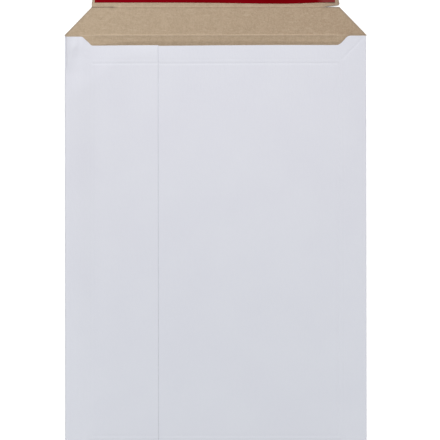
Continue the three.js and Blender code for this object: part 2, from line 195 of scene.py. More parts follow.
BACK_SCORES = frame_scores({
    "top": 0.11, "bottom": 0.09, "left": 0.02, "right": 0.12, "outer": 0.2,
    "left_mitre": 0.01, "right_mitre": 0.14,
})
FRONT_SCORES = frame_scores({
    "top": 0.1, "bottom": 0.1, "left": 0.1, "right": 0.1, "outer": 1.0,
    "left_mitre": 0.1, "right_mitre": 0.1,
})
FLAP_SCORES = [
    ((FOLD_SCORE_INSET - HALF, FOLD_LINE), (HALF - FOLD_SCORE_INSET, FOLD_LINE), MAIN_FOLD_DEPTH),
    ((SEAL_INSET - HALF + LEFT_SLIT_LENGTH, SEAL_LINE),
     (HALF - SEAL_INSET - RIGHT_SLIT_LENGTH, SEAL_LINE), SECOND_FOLD_DEPTH),
]


def pressed(x, y, scores, sigma):
    """How far the card is pressed in at each point."""
    deepest = np.zeros_like(x)
    for (ax, ay), (bx, by), depth in scores:
        dx, dy = bx - ax, by - ay
        t = np.clip(((x - ax) * dx + (y - ay) * dy) / (dx * dx + dy * dy), 0, 1)
        away = np.hypot(x - ax - t * dx, y - ay - t * dy)
        deepest = np.maximum(deepest, depth * np.exp(-(away / sigma) ** 2 / 2))
    return deepest


# Shape of the card when it is folded

# The left corner of the mouth: its crease is pressed flat while the panel beside it stands up,
# which makes a steep three-cornered facet, and the panel sinks to the mouth beyond a diagonal bend
FACET_LENGTH = 30.5
FACET_SPREAD = 0.4
FACET_WIDTH = 10.5
FACET_LEAST_WIDTH = 0.01
FACET_SLOPE = 0.39
FACET_STEEPER = 0.13
FACET_STEEPER_FROM = 20
FACET_STEEPER_RUN = 12
FACET_ROUNDING = 1.15
FACET_PINCH = 0.45
PANEL_RUN = 30
RIGHT_RUN = 30
BEND_FROM = -72
BEND_BELOW = 13.9
BEND_FALL = 0.8
DIP_RUN = 17
DIP_SLOPE = 0.107
DIP_SLOPE_RIGHT = 0.008
DIP_SOFTNESS = 4.5
DIP_FADE_FROM = -70
DIP_FADE_RUN = 60


def smooth(t):
    t = np.clip(t, 0, 1)
    return t * t * (3 - 2 * t)


def openness(y):
    """How far the pocket stands open at a height: a slow swell that sinks a little to the mouth."""
    t = np.clip((y - BOTTOM_FLAP_HEIGHT) / (MOUTH_LINE - BOTTOM_FLAP_HEIGHT), 0, 1)
    return np.sin(SWELL * t)


def facet_width(y):
    return np.clip(FACET_SPREAD * (y - (FOLD_LINE - FACET_LENGTH)), 0, FACET_WIDTH)


def facet_rise(y):
    """Height of the facet's inner edge over the crease; it is steeper near the mouth."""
    steeper = FACET_STEEPER * smooth((y - (FOLD_LINE - FACET_STEEPER_FROM)) / FACET_STEEPER_RUN)
    return (FACET_SLOPE + steeper) * facet_width(y)


def fold_radius(side, y):
    """Outer radius of a side fold; the left one is pressed flatter beside the facet."""
    return CLOSED_RADIUS - np.where(side < 0, FACET_PINCH * facet_width(y) / FACET_WIDTH, 0)


def dip(x, y):
    """How far the back panel sinks towards the mouth."""
    past = y - (FOLD_LINE - BEND_BELOW - BEND_FALL * np.maximum(0, BEND_FROM - x))
    bend = np.clip(past + DIP_SOFTNESS, 0, None) ** 2 / (4 * DIP_SOFTNESS)
    soft = np.where(past > DIP_SOFTNESS, past, bend)
    left_share = 1 - smooth((x - DIP_FADE_FROM) / DIP_FADE_RUN)
    return soft * (DIP_SLOPE_RIGHT + (DIP_SLOPE - DIP_SLOPE_RIGHT) * left_share)


def back_outside(x, y):
    """Height of the lower back panel's white face."""
    arch = np.cos(math.pi * np.minimum(np.abs(x), FLAT_HALF) / (2 * FLAT_HALF))
    panel = 2 * CLOSED_RADIUS + (FOLD_RISE + MIDDLE_RISE * arch) * openness(y)
    side = np.where(x < 0, -1.0, 1.0)
    in_from_side = np.maximum(HALF - np.abs(x), 0)
    crease = 2 * fold_radius(side, y)
    across_facet = np.clip(in_from_side / np.maximum(facet_width(y), FACET_LEAST_WIDTH), 0, 1)
    rise = np.where(side < 0, facet_rise(y), 0)
    facet = rise * (1 - (1 - across_facet) ** FACET_ROUNDING)
    left_share = smooth(in_from_side / PANEL_RUN)
    right_share = 1 - (1 - np.clip(in_from_side / RIGHT_RUN, 0, 1)) ** 2
    share = np.where(side < 0, left_share, right_share)
    height = crease + facet + (panel - crease - rise) * share
    height -= dip(x, y) * smooth(in_from_side / DIP_RUN)
    return np.maximum(height, 2 * BOARD + LEAST_GAP) - pressed(x, y, BACK_SCORES, SCORE_SIGMA)


def climb(x):
    """Rise of the left panel where it climbs onto the right one."""
    return (BOARD + GLUE_SPACE) * smooth((x - CLIMB_START) / CLIMB_LENGTH)


# The side folds are a little squarer than a circle; the mouth edges run a little out of square
SQUARENESS_LEFT = 0.55
SQUARENESS_RIGHT = 0.8
LEFT_SHOULDER_SINK = 0.45
LEFT_SHOULDER_RUN = 6
RIGHT_MOUTH_SINK = 0.45
RIGHT_MOUTH_RUN = 40
RIGHT_MOUTH_REACH = 75
RIGHT_MOUTH_END = -0.3
EASE = 2
SHOULDER_SPARE = 0.01


def mouth_sink(side, x, y):
    """How far a back panel's top edge is out of square."""
    near_shoulder = smooth((y - (SHOULDER_LINE - LEFT_SHOULDER_RUN)) / LEFT_SHOULDER_RUN)
    near_mouth = smooth((y - (MOUTH_LINE - RIGHT_MOUTH_RUN)) / RIGHT_MOUTH_RUN)
    along = np.clip(1 - (x - LEFT_EDGE) / RIGHT_MOUTH_REACH, RIGHT_MOUTH_END, 1)
    right_sink = RIGHT_MOUTH_SINK * along * near_mouth
    return np.where(side < 0, LEFT_SHOULDER_SINK * near_shoulder, right_sink)


def eased(side, s, y):
    """Distance from the middle; the strip beside a side fold is drawn in as the fold asks."""
    start = FLAT_HALF - EASE
    share = 1 - smooth((y - SHOULDER_LINE) / SHOULDER_DROP)
    end = FLAT_HALF + (HALF - fold_radius(side, y) - FLAT_HALF) * share
    return np.where(s <= start, s, start + (s - start) / EASE * (end - start))


def place(u, v, depth):
    """Where points of the blank lie once folded; depth is 0 on white and BOARD on brown."""
    side, s = np.where(u < 0, -1.0, 1.0), np.abs(u)
    flat_s = np.where(s > FLAT_HALF, s, eased(side, s, v))
    groove = pressed(u, v, FLAP_SCORES, FOLD_SIGMA)
    front_groove = np.where(v < FOLD_LINE, pressed(u, v, FRONT_SCORES, SCORE_SIGMA), 0)
    x, y, z = side * flat_s, v.copy(), depth + np.maximum(groove, front_groove)

    # Round the side folds
    radius = fold_radius(side, v)
    turn = np.clip((s - FLAT_HALF) / SIDE_ARC, 0, 1) * math.pi
    beside_body = (v < SHOULDER_LINE + SHOULDER_SPARE) & (v >= 0)
    in_fold = (s > FLAT_HALF) & (s <= TURN) & beside_body
    squareness = np.where(side < 0, SQUARENESS_LEFT, SQUARENESS_RIGHT)
    out = np.abs(np.sin(turn)) ** squareness
    up = np.sign(np.cos(turn)) * np.abs(np.cos(turn)) ** squareness
    x = np.where(in_fold, side * (HALF - radius + (radius - depth) * out), x)
    z = np.where(in_fold, radius - (radius - depth) * up, z)
    y = np.where(in_fold & (side < 0), v - mouth_sink(side, x, v) * turn / math.pi, y)

    # The two back panels
    half = BACK_TURN - s
    on_back = s > TURN
    back_x = side * np.where(half > 0, eased(side, half, v), half)
    lift = np.where(side < 0, climb(back_x), 0)
    x = np.where(on_back, back_x, x)
    y = np.where(on_back, v - mouth_sink(side, back_x, v), y)
    z = np.where(on_back, back_outside(side * half, v) + lift - depth, z)

    # The bottom fold and the flap tucked inside
    below = v < 0
    r = BOTTOM_RADIUS - depth
    angle = np.clip(-v / BOTTOM_ARC, 0, 1) * math.pi
    tucked = v < -BOTTOM_ARC
    y = np.where(below, np.where(tucked, -BOTTOM_ARC - v, -r * np.sin(angle)), y)
    z = np.where(below, BOTTOM_RADIUS - r * np.cos(angle), z)
    x = np.where(below, u, x)
    return np.stack([x, y + SHIFT_Y, z], axis=1) * MM


# Lines that cut the flat blank into cells: fine ones round a score and along a cut edge

STEP = 6
FINE = [-1.7, -1.25, -0.9, -0.6, -0.3, 0, 0.3, 0.6, 0.9, 1.25, 1.7]
EDGE_FINE = [0.45, 0.9, 1.4, 2.2]
END_SPACE = 0.2
LINE_SPACE = 0.08
STEP_SPARE = 0.01
MOUTH_ROW_STEP = 3
CORNER_STEP = 0.9
FINER_LINES = 18
FOLD_PARTS = 14
BOTTOM_PARTS = 8
CLIMB_PARTS = 8
ARC_PARTS = 8


def positions(low, high, wanted):
    """Lines from low to high: the wanted ones, and more where gaps would be wider than STEP."""
    fixed = [low]
    for w in sorted(wanted):
        if low + END_SPACE < w < high - END_SPACE and w - fixed[-1] > LINE_SPACE:
            fixed.append(w)
    fixed.append(high)
    lines = []
    for a, b in zip(fixed, fixed[1:]):
        parts = max(1, math.ceil((b - a) / STEP - STEP_SPARE))
        lines += [a + (b - a) * k / parts for k in range(parts)]
    return lines[1:]


def around(*centres):
    return [c + f for c in centres for f in FINE]


flap_top = HALF - FLAP_TOP_INSET
seal_half = HALF - SEAL_INSET
slit_left = LEFT_SLIT_LENGTH - seal_half
slit_right = seal_half - RIGHT_SLIT_LENGTH
tuck_half = FLAT_HALF - BOTTOM_FLAP_INSET
tuck_tip = tuck_half - BOTTOM_FLAP_HEIGHT
side_lines = around(SIDE_SCORE, OUTER_SIDE)
corner_lines = [HALF - CORNER_STEP * k for k in range(2, FINER_LINES)]
body_rows = positions(0, SHOULDER_LINE, [
    *around(TOP_SCORE, OUTER_TOP, BOTTOM_SCORE, OUTER_BOTTOM),
    *[MOUTH_LINE - f for f in EDGE_FINE],
    *[MOUTH_LINE - MOUTH_ROW_STEP * k for k in range(1, FINER_LINES)],
])
sheet_columns = positions(-FOOT_HALF, FOOT_HALF, [
    *side_lines, *[-x for x in side_lines],
    *around(FOLD_SCORE_INSET - HALF, HALF - FOLD_SCORE_INSET), slit_left, slit_right,
    *[side * x for side in (-1, 1) for x in (FLAT_HALF, flap_top, tuck_half, tuck_tip)],
])


# Panels of the flat blank, each as (polygon, columns, rows)

def arc(cx, cy, radius, first, last):
    """Points on an arc between two angles in degrees."""
    angles = [math.radians(first + (last - first) * i / ARC_PARTS) for i in range(ARC_PARTS + 1)]
    return [(cx + radius * math.cos(a), cy + radius * math.sin(a)) for a in angles]


def front_panel():
    ring = [(-FLAT_HALF, 0), (FLAT_HALF, 0), (FLAT_HALF, SHOULDER_LINE),
            (FOOT_HALF, FOLD_LINE), (-FOOT_HALF, FOLD_LINE), (-FLAT_HALF, SHOULDER_LINE)]
    return ring, sheet_columns, [*body_rows, SHOULDER_LINE]


def side_fold(side):
    low, high = sorted((side * FLAT_HALF, side * TURN))
    ring = [(low, 0), (high, 0), (high, SHOULDER_LINE), (low, SHOULDER_LINE)]
    columns = [side * (FLAT_HALF + SIDE_ARC * k / FOLD_PARTS) for k in range(1, FOLD_PARTS)]
    return ring, columns, body_rows


def shoulder_points(shoulder):
    """The step from the shoulder down to the mouth edge, as (distance from the middle, height)."""
    radius, steps = shoulder["radius"], shoulder["steps"]
    fall = SHOULDER_LINE - MOUTH_LINE
    start = HALF - shoulder["from_side"]
    foot = start - shoulder["run"]
    straight = math.sqrt(shoulder["run"] ** 2 + (fall - 2 * radius) ** 2 - 4 * radius ** 2)
    slope = math.atan2(fall - 2 * radius, shoulder["run"]) + math.atan2(2 * radius, straight)
    turns = [slope * i / steps for i in range(steps + 1)]
    upper = [(start - radius * math.sin(a), SHOULDER_LINE - radius * (1 - math.cos(a)))
             for a in turns]
    lower = [(foot + radius * math.sin(a), MOUTH_LINE + radius * (1 - math.cos(a)))
             for a in reversed(turns)]
    return upper + lower


def back_panel(side, edge, shoulder):
    """A back panel from its side fold to its free edge, with its shoulder."""
    free = BACK_TURN - side * edge
    ring = [(TURN, 0), (free, 0), (free, MOUTH_LINE)]
    ring += [(BACK_TURN - x, y) for x, y in reversed(shoulder_points(shoulder))]
    ring += [(TURN, SHOULDER_LINE)]
    lines = [BACK_TURN - x for x in side_lines] + [BACK_TURN + x for x in side_lines]
    lines += [free - f for f in EDGE_FINE]
    if side < 0:
        lines += [BACK_TURN - x for x in corner_lines]
        lines += [BACK_TURN + CLIMB_START + CLIMB_LENGTH * k / CLIMB_PARTS
                  for k in range(CLIMB_PARTS + 1)]
    columns = positions(TURN, free, lines)
    if side > 0:
        return ring, columns, body_rows
    return [(-u, v) for u, v in reversed(ring)], [-u for u in columns], body_rows


def bottom_fold():
    ring = [(-tuck_half, -BOTTOM_ARC), (tuck_half, -BOTTOM_ARC), (tuck_half, 0), (-tuck_half, 0)]
    return ring, sheet_columns, [-BOTTOM_ARC * k / BOTTOM_PARTS for k in range(1, BOTTOM_PARTS)]


def bottom_flap():
    end = -BOTTOM_ARC - BOTTOM_FLAP_HEIGHT
    ring = [(-tuck_tip, end), (tuck_tip, end), (tuck_half, -BOTTOM_ARC), (-tuck_half, -BOTTOM_ARC)]
    return ring, sheet_columns, []


def top_flap():
    slit = SEAL_LINE - LEFT_SLIT_GAP / 2
    ring = [(-FOOT_HALF, FOLD_LINE), (FOOT_HALF, FOLD_LINE), (flap_top, SEAL_LINE),
            (slit_left, SEAL_LINE), (slit_left, slit), (-flap_top, slit)]
    rows = positions(FOLD_LINE, SEAL_LINE, [
        *[FOLD_LINE + f for f in FINE if f > 0], *[SEAL_LINE + f for f in FINE if f < 0]])
    return ring, sheet_columns, rows


def sealing_section():
    slit = SEAL_LINE + LEFT_SLIT_GAP / 2
    root = SEAL_LINE + RIGHT_SLIT_MOUTH + SEAL_ROOT_RADIUS
    outer = SEAL_END - SEAL_OUTER_RADIUS
    right = seal_half + SEAL_SPARE_RIGHT
    left = seal_half + SEAL_SPARE_LEFT
    ring = [(slit_left, SEAL_LINE), (slit_right, SEAL_LINE)]
    ring += arc(right - SEAL_ROOT_RADIUS, root, SEAL_ROOT_RADIUS, SEAL_ROOT_ANGLE, 0)
    ring += [(right - SEAL_TAPER_RIGHT * k / 3, root + SEAL_STEP_RIGHT * k) for k in (1, 2, 3)]
    ring += arc(right - SEAL_TAPER_RIGHT - SEAL_OUTER_RADIUS, outer, SEAL_OUTER_RADIUS, 0, 90)
    ring += arc(SEAL_OUTER_RADIUS + SEAL_TAPER_LEFT - left, outer, SEAL_OUTER_RADIUS, 90, 180)
    ring += [(SEAL_TAPER_LEFT * k / 2 - left, root + SEAL_STEP_LEFT * k) for k in (2, 1, 0)]
    ring += [(-left, slit), (slit_left, slit)]
    rows = positions(SEAL_LINE, SEAL_END, [SEAL_LINE + f for f in FINE if f > 0])
    return ring, sheet_columns, rows


def blank_panels():
    return [
        front_panel(), side_fold(-1), side_fold(1),
        back_panel(-1, LEFT_EDGE, LEFT_SHOULDER), back_panel(1, RIGHT_EDGE, RIGHT_SHOULDER),
        bottom_fold(), bottom_flap(), top_flap(), sealing_section(),
    ]


# The flat blank as a mesh of cells

CUT_DISTANCE = 1e-4
MERGE_DISTANCE = 0.004
MITRE_MARGIN = 2
FLAP_SIDE_BAND = 6


def cut(bm, point, normal, faces=None):
    """Cuts the faces along a line in the plane of the blank."""
    faces = list(bm.faces) if faces is None else faces
    edges = {e for f in faces for e in f.edges}
    verts = {v for f in faces for v in f.verts}
    bmesh.ops.bisect_plane(
        bm, geom=[*verts, *edges, *faces], dist=CUT_DISTANCE,
        plane_co=(*point, 0), plane_no=(*normal, 0))


def cut_mitre(bm, on_back, side, end, y):
    """Cuts a corner of a body panel along its mitre; end is 1 at the top and -1 at the bottom."""
    def in_corner(face):
        u, v, _ = face.calc_center_median()
        if on_back != (abs(u) > TURN) or u * side < 0:
            return False
        from_middle = abs(BACK_TURN - abs(u)) if on_back else abs(u)
        out, rise = from_middle - OUTER_SIDE, end * (v - y)
        beside = -MITRE_MARGIN < out < MITRE_REACH
        return beside and -MITRE_MARGIN < rise < MITRE_REACH + MITRE_MARGIN

    start = side * (BACK_TURN - OUTER_SIDE) if on_back else side * OUTER_SIDE
    slope = -side if on_back else side
    normal = (-slope * math.sqrt(0.5), end * math.sqrt(0.5))
    for off in FINE:
        point = (start + off * normal[0], y + off * normal[1])
        cut(bm, point, normal, [f for f in bm.faces if in_corner(f)])


def cut_flap_sides(bm):
    """Cuts the flap along its two slanted sides."""
    for side in (-1, 1):
        run = (FOOT_HALF - flap_top, FLAP_HEIGHT)
        length = math.hypot(*run)
        normal = (side * run[1] / length, run[0] / length)
        for f in EDGE_FINE:
            point = (side * FOOT_HALF - normal[0] * f, FOLD_LINE - normal[1] * f)
            near = [c for c in bm.faces if FOLD_LINE < c.calc_center_median().y < SEAL_LINE
                    and side * c.calc_center_median().x > flap_top - FLAP_SIDE_BAND]
            cut(bm, point, normal, near)


def flat_blank():
    """The whole blank as a flat mesh of fine cells."""
    whole = bmesh.new()
    for ring, columns, rows in blank_panels():
        panel = bmesh.new()
        panel.faces.new([panel.verts.new((u, v, 0)) for u, v in ring])
        for u in columns:
            cut(panel, (u, 0), (1, 0))
        for v in rows:
            cut(panel, (0, v), (0, 1))
        part = bpy.data.meshes.new("part")
        panel.to_mesh(part)
        whole.from_mesh(part)
        bpy.data.meshes.remove(part)
        panel.free()
    bmesh.ops.remove_doubles(whole, verts=whole.verts, dist=MERGE_DISTANCE)
    cut_flap_sides(whole)
    for on_back in (False, True):
        for side in (-1, 1):
            cut_mitre(whole, on_back, side, 1, OUTER_TOP)
            cut_mitre(whole, on_back, side, -1, OUTER_BOTTOM)
    bmesh.ops.triangulate(whole, faces=[f for f in whole.faces if len(f.verts) > 4])
    return whole


# From the flat blank to the folded card, whose cut edges are chamfered

CHAMFER = 0.22
CHAMFER_DEPTH = 0.16
SLIT_CHAMFER_DEPTH = 0.4
SLIT_RIM_SHARE = 0.2
SLIT_END_SPACE = 0.1
PULL = 1.2
RIM = 1.8
ON_OUTLINE = 1e-6
LEAST_LENGTH = 1e-9
BATCH = 1500
SHARP_ANGLE = math.radians(28)
WHITE_FACE, BROWN_FACE, CUT_FACE = 0, 1, 2


def add_piece(name, points, polygons):
    """A smooth piece in the scene, with its sharp edges marked."""
    mesh = bpy.data.meshes.new(name)
    mesh.from_pydata(np.concatenate(points).tolist(), [], polygons)
    mesh.polygons.foreach_set("use_smooth", [True] * len(polygons))
    mesh.set_sharp_from_angle(angle=SHARP_ANGLE)
    mesh.update()
    piece = bpy.data.objects.new(name, mesh)
    bpy.context.scene.collection.objects.link(piece)
    return piece


def nearest_on_outline(points, starts, ends):
    """Distance from each point to the outline, and the outline's nearest point."""
    run = ends - starts
    square = (run ** 2).sum(1)
    distance = np.empty(len(points))
    nearest = np.empty_like(points)
    for first in range(0, len(points), BATCH):
        some = points[first:first + BATCH]
        t = ((some[:, None, :] - starts[None]) * run[None]).sum(2) / square
        foot = starts[None] + np.clip(t, 0, 1)[..., None] * run[None]
        away = ((some[:, None, :] - foot) ** 2).sum(2)
        best = away.argmin(1)
        rows = np.arange(len(some))
        distance[first:first + BATCH] = np.sqrt(away[rows, best])
        nearest[first:first + BATCH] = foot[rows, best]
    return distance, nearest


def outline_of(faces):
    """The directed edges that belong to one face only."""
    directed = {(a, b) for ring in faces for a, b in zip(ring, ring[1:] + ring[:1])}
    return sorted((a, b) for a, b in directed if (b, a) not in directed)


def in_from_outline(uv, border):
    """Distance from the outline at each vertex, and the direction straight in from it."""
    firsts, seconds = ([edge[k] for edge in border] for k in (0, 1))
    distance, nearest = nearest_on_outline(uv, uv[firsts], uv[seconds])
    run = uv[seconds] - uv[firsts]
    left = np.stack([-run[:, 1], run[:, 0]], 1) / np.linalg.norm(run, axis=1)[:, None]
    inward = np.zeros_like(uv)
    for ends in (firsts, seconds):
        np.add.at(inward, ends, left)
    free = distance > ON_OUTLINE
    inward[free] = (uv - nearest)[free]
    length = np.linalg.norm(inward, axis=1)
    return distance, inward / np.maximum(length, LEAST_LENGTH)[:, None]


def walls(border, on_border, n):
    """Three bands of wall along the outline, from the white face to the brown one."""
    m = len(on_border)
    ring_of = {v: 2 * n + i for i, v in enumerate(on_border)}
    bands = []
    for a, b in border:
        ra, rb = ring_of[a], ring_of[b]
        levels = [(n + a, n + b), (ra, rb), (m + ra, m + rb), (a, b)]
        bands += [[la, lb, ub, ua] for (la, lb), (ua, ub) in zip(levels, levels[1:])]
    return bands


def folded_sheet(name, bm):
    """The card as one closed mesh: brown face, white face, and chamfered walls between them."""
    bm.verts.index_update()
    uv = np.array([v.co[:2] for v in bm.verts])
    faces = [[v.index for v in f.verts] for f in bm.faces]
    border = outline_of(faces)
    on_border = sorted({a for a, _ in border})
    distance, inward = in_from_outline(uv, border)
    by_slit = (np.abs(uv[:, 1] - SEAL_LINE) < RIM) & (uv[:, 0] < slit_left - SLIT_END_SPACE)

    n, m = len(uv), len(on_border)
    pull = CHAMFER * np.clip(1 - distance / PULL, 0, 1) ** 2
    inner_u, inner_v = (uv + inward * pull[:, None]).T
    edge_u, edge_v = uv[on_border].T
    upper = BOARD - np.where(by_slit[on_border], SLIT_CHAMFER_DEPTH, CHAMFER_DEPTH)
    points = [
        place(inner_u, inner_v, np.full(n, BOARD)), place(inner_u, inner_v, np.zeros(n)),
        place(edge_u, edge_v, np.full(m, CHAMFER_DEPTH)), place(edge_u, edge_v, upper),
    ]
    bands = walls(border, on_border, n)
    under = [[n + i for i in reversed(f)] for f in faces]
    sheet = add_piece(name, points, faces + under + bands)

    kinds = [BROWN_FACE] * len(faces) + [WHITE_FACE] * len(faces) + [CUT_FACE] * len(bands)
    sheet.data.polygons.foreach_set("material_index", kinds)
    # Nearness to a cut edge, by which the brown face is darkened: partly crushed fibre at the cut,
    # partly painted shade of the edge's roll; less of it by the slit
    near = np.clip(1 - distance / RIM, 0, 1) * np.where(by_slit, SLIT_RIM_SHARE, 1)
    rim = sheet.data.attributes.new("rim", "FLOAT", "POINT")
    rim.data.foreach_set("value", np.concatenate([near, near, np.ones(2 * m)]).astype(np.float32))
    return sheet


def film(name, x, y, low, high):
    """A thin closed piece over a grid of points, from one height to another."""
    rows, columns = x.shape
    n = rows * columns
    index = np.arange(n).reshape(rows, columns).tolist()
    points = [np.stack([x, y + SHIFT_Y, z], axis=-1).reshape(n, 3) * MM for z in (low, high)]
    polygons = []
    for a, b in zip(index, index[1:]):
        for cell in zip(a, a[1:], b[1:], b):
            polygons.append([n + i for i in cell])
            polygons.append(list(cell[::-1]))
    ring = index[0] + [row[-1] for row in index[1:]]
    ring += index[-1][-2::-1] + [row[0] for row in index[-2:0:-1]]
    polygons += [[a, b, n + b, n + a] for a, b in zip(ring, ring[1:] + ring[:1])]
    return add_piece(name, points, polygons)


# Materials

# Sockets of a mix node that mixes colours
MIX_SHARE, MIX_A, MIX_B, MIX_RESULT = 0, 6, 7, 2

# Places and widths of the bands in which a tone, a painted shade or a painted light changes, in
# metres from a line or on an axis
COAT_TONE_Y = (-0.14, 0.08)
# Painted shade: the brown inside is painted darker towards the right
BROWN_PAINTED_SHADE_X = (-0.1, 0.11)
# Painted shade: the red liner is painted darker towards the right
LINER_PAINTED_SHADE_X = (-0.1, 0.05)
LINER_SHEEN_X = (0.084, 0.09)
# Where, under the fold, the painted shade to the right drops to about a third: painted light on the
# strip under the mouth
FOLD_PAINTED_SHADE_FADE = (0.0015, 0.0005)
# Width of the painted highlight along the crest of the fold's bead
FOLD_PAINTED_HIGHLIGHT = (0, 0.0007)
# Where the seam's cut edge is painted paler: painted light on the seam's shade
SEAM_PAINTED_LIGHT_BAND = (0.0008, 0.0014)
# Where the cut edges in the slit are painted dark: painted shade
SLIT_PAINTED_SHADE_BAND = (0.0006, 0.001)


def linear(*rgb):
    """Linear colour of an 8-bit sRGB one."""
    dark = 10.3
    values = [c / 255 / 12.92 if c <= dark else ((c / 255 + 0.055) / 1.055) ** 2.4 for c in rgb]
    return (*values, 1)


class Look:
    """A node material with short names for the nodes that these looks use."""

    def __init__(self, name, roughness, specular):
        self.material = bpy.data.materials.new(name)
        self.material.use_nodes = True
        self.tree = self.material.node_tree
        self.surface = self.tree.nodes["Principled BSDF"]
        self.set_surface("Roughness", roughness)
        self.set_surface("Specular IOR Level", specular)
        self.here = self.tree.nodes.new("ShaderNodeTexCoord").outputs["Object"]

    def node(self, kind, inputs=None, **settings):
        node = self.tree.nodes.new(kind)
        for key, value in settings.items():
            setattr(node, key, value)
        for key, value in (inputs or {}).items():
            self.set(node.inputs[key], value)
        return node

    def set(self, socket, value):
        if isinstance(value, bpy.types.NodeSocket):
            self.tree.links.new(value, socket)
        else:
            socket.default_value = value

    def set_surface(self, name, value):
        self.set(self.surface.inputs[name], value)

    def noise(self, size, detail=3, rough=0.55, stretch=(1, 1, 1), shift=(0, 0, 0)):
        """Noise whose cells are about size metres across."""
        moved = self.node("ShaderNodeMapping", {
            "Vector": self.here, "Scale": tuple(s / size for s in stretch), "Location": shift})
        found = self.node("ShaderNodeTexNoise", {
            "Vector": moved.outputs["Vector"], "Scale": 1.0, "Detail": detail, "Roughness": rough})
        return found.outputs["Fac"]

    def spread(self, value, low, high, to_low=0.0, to_high=1.0):
        """Value mapped from one range to another, and held at its ends."""
        return self.node("ShaderNodeMapRange", {
            "Value": value, "From Min": low, "From Max": high, "To Min": to_low, "To Max": to_high,
        }, clamp=True).outputs["Result"]

    def maths(self, operation, a, b=0.0):
        return self.node("ShaderNodeMath", {0: a, 1: b}, operation=operation).outputs["Value"]

    def mix(self, share, a, b):
        """Colour a turned into colour b by a share."""
        node = self.tree.nodes.new("ShaderNodeMix")
        node.data_type = "RGBA"
        self.set(node.inputs[MIX_SHARE], share)
        self.set(node.inputs[MIX_A], a)
        self.set(node.inputs[MIX_B], b)
        return node.outputs[MIX_RESULT]

    def part_mix(self, mask, share, a, b):
        """Colour a turned into colour b by up to a share where the mask is."""
        return self.mix(self.maths("MULTIPLY", mask, share), a, b)

    def bump(self, height, distance):
        node = self.node("ShaderNodeBump", {
            "Height": height, "Distance": distance, "Strength": 1.0})
        self.set_surface("Normal", node.outputs["Normal"])

    def along(self, axis):
        return self.node("ShaderNodeSeparateXYZ", {"Vector": self.here}).outputs[axis]

    def away_from(self, axis, place_at):
        """Distance in metres from a place on an axis."""
        return self.maths("ABSOLUTE", self.maths("SUBTRACT", self.along(axis), place_at))


def white_coat():
    """The coated white outside: nearly even, with a faint cloudiness and the finest grain."""
    look = Look("board_white_coat", 0.6, 0.3)
    cloud = look.spread(look.noise(0.045, 2), 0.35, 0.65)
    grain = look.spread(look.noise(0.0009, 3, 0.6), 0.3, 0.7)
    fibres = look.spread(look.noise(0.0016, 2, 0.5, (1, 0.35, 1), (3, 7, 1)), 0.35, 0.65)
    lower = look.mix(cloud, linear(219.8, 222.4, 231.2), linear(221.6, 224.4, 232.6))
    upper = look.mix(cloud, linear(220.8, 221.3, 229.8), linear(222.6, 223.4, 231.2))
    tone = look.mix(look.spread(look.along("Y"), *COAT_TONE_Y), lower, upper)
    tone = look.part_mix(grain, 0.17, tone, linear(216, 217.3, 226))
    tone = look.part_mix(fibres, 0.12, tone, linear(227, 228.3, 234.5))
    look.set_surface("Base Color", tone)
    look.set_surface("Roughness", look.spread(look.noise(0.006, 3), 0.3, 0.7, 0.52, 0.64))
    look.bump(look.maths("ADD", grain, fibres), 0.000015)
    return look.material


def brown_board():
    """The unlined inside: grey-brown recycled fibre, mottled, with flecks; painted shade darkens it
    towards the right, a painted highlight lightens the fold's bead, and it is darker near its cut
    edges, partly from crushed fibre and partly from painted shade.
    """
    look = Look("board_brown_fibre", 0.85, 0.2)
    patch = look.spread(look.noise(0.012, 3, 0.6), 0.32, 0.68)
    mottle = look.spread(look.noise(0.0028, 4, 0.7, (1, 1, 1), (5, 2, 8)), 0.34, 0.66)
    grain = look.spread(look.noise(0.0011, 3, 0.7, (1, 1, 1), (1, 9, 4)), 0.34, 0.66)
    hairs = look.spread(look.noise(0.0022, 2, 0.5, (0.35, 1.6, 1), (8, 3, 2)), 0.58, 0.72)
    fold = (FOLD_LINE + SHIFT_Y) * MM
    paler = look.mix(patch, linear(183, 162, 137), linear(189, 168, 143))
    darker = look.mix(patch, linear(165, 141, 117), linear(171, 147, 123))
    # Painted shade: the brown darkens towards the right
    painted_shade_to_right = look.spread(look.along("X"), *BROWN_PAINTED_SHADE_X)
    # Below the fold the painted shade is cut to about a third: painted light on the strip under the
    # mouth, where the back panel's shade falls
    shade_start, shade_end = (fold - before for before in FOLD_PAINTED_SHADE_FADE)
    painted_shade_past_fold = look.spread(look.along("Y"), shade_start, shade_end, 0.35, 1.0)
    tone = look.mix(look.maths("MULTIPLY", painted_shade_to_right, painted_shade_past_fold), paler, darker)
    tone = look.part_mix(mottle, 0.55, tone, linear(161, 141, 116))
    tone = look.part_mix(grain, 0.4, tone, linear(203, 184, 160))
    tone = look.part_mix(hairs, 0.28, tone, linear(207, 189, 166))
    # Painted highlight: a paler line along the crest of the fold's bead
    painted_fold_highlight = look.spread(look.away_from("Y", fold), *FOLD_PAINTED_HIGHLIGHT, 0.3, 0.0)
    tone = look.mix(painted_fold_highlight, tone, linear(222, 204, 182))
    # Darker near the cut edges: partly crushed fibre and partly painted shade where the edge rolls
    # away from the light
    edge_crush_and_shade = look.node("ShaderNodeAttribute", attribute_name="rim").outputs["Fac"]
    rim = look.maths("POWER", edge_crush_and_shade, 1.6)
    look.set_surface("Base Color", look.part_mix(rim, 0.65, tone, linear(140, 126, 114)))
    look.bump(look.maths("ADD", mottle, grain), 0.00006)
    return look.material


